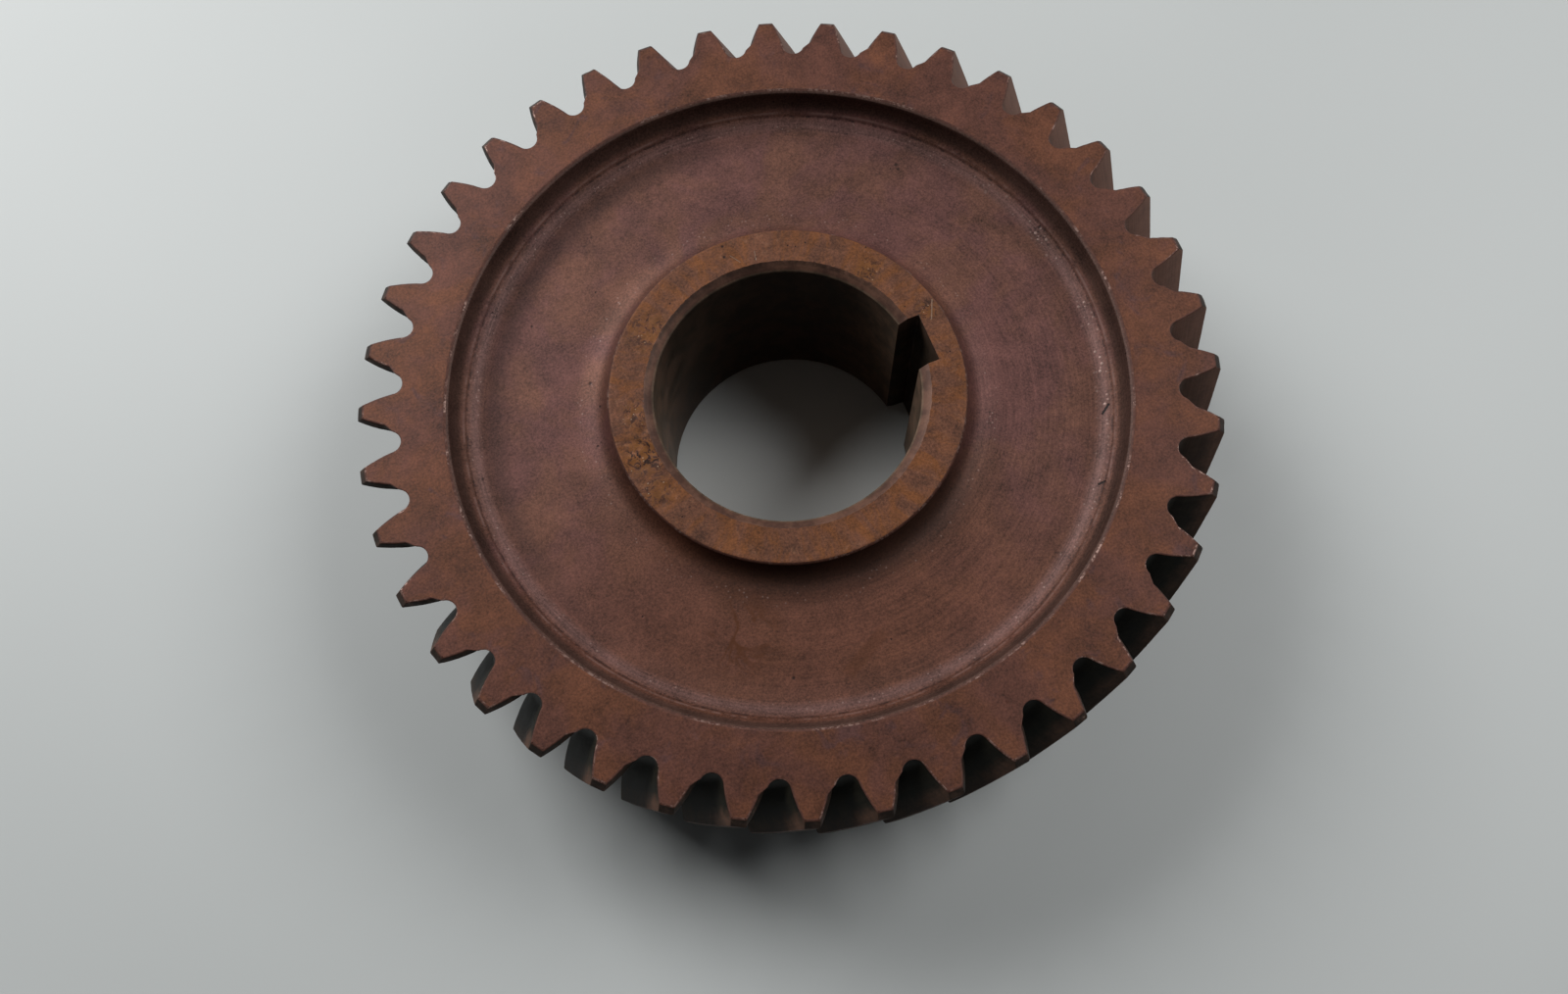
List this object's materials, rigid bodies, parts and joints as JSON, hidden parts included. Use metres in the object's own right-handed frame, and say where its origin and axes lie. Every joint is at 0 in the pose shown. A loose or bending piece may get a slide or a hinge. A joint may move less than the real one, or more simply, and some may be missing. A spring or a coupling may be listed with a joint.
{
  "type": "helical gear",
  "caption": "Right-hand helical gear with a recessed web, a long boss on one side and a plain bore with one keyway, for a parallel-shaft drive.",
  "frame": {"origin": "bore axis at the end of the long boss, the lowest point", "axes": "+Z along the bore towards the short-hub side; +X through the middle of the keyway"},
  "size_m": [0.1628, 0.1628, 0.0433],
  "materials": {
    "gear_steel": "machined forging steel with a thin brown oxide and oil film, darker on the tooth flanks"
  },
  "bodies": {
    "root": {"helical_gear": "gear_steel"}
  },
  "joints": []
}
